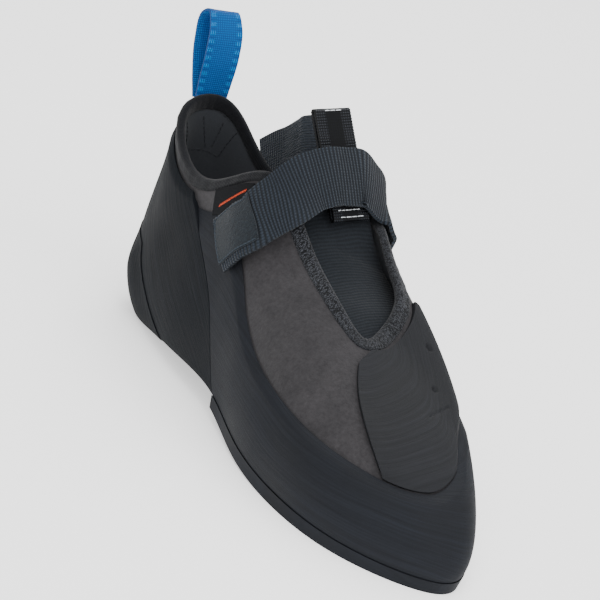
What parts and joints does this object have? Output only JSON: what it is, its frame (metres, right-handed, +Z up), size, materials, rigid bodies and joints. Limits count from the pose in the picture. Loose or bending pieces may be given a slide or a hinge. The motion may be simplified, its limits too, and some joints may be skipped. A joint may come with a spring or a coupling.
{
  "type": "climbing shoe",
  "caption": "Right climbing shoe: downturned last, rubber rand, heel cup, sole and toe patch, suede-like upper, stretch tongue, one closing strap, tongue loop and a blue heel pull loop.",
  "frame": {"origin": "on the floor, in the flat spot under the forefoot, on the line through the middle of the heel", "axes": "+X from the heel to the toe, +Y to the inner side of the foot, +Z up from the floor"},
  "size_m": [0.2495, 0.0807, 0.1297],
  "materials": {
    "microfibre": "matt suede-like microfibre, warm grey",
    "binding": "matt woven strip over thin foam",
    "rubber_black": "sanded, matt",
    "sole_rubber": "smooth, matt",
    "insole_board": "matt",
    "stretch_knit": "ribbed knit",
    "webbing": "ribbed webbing with a fuzzy tab",
    "black_ribbon": "glossy woven ribbon",
    "blue_ribbon": "glossy woven ribbon"
  },
  "bodies": {
    "root": {"collar_binding": "binding", "heel_bumper": "rubber_black", "heel_cup": "rubber_black", "insole": "insole_board", "outsole": "sole_rubber", "pull_loop": "blue_ribbon", "rand": "rubber_black", "strap": "webbing", "strap_lower_run": "webbing", "toe_patch": "rubber_black", "tongue": "stretch_knit", "tongue_loop": "black_ribbon", "upper": "microfibre"}
  },
  "joints": []
}
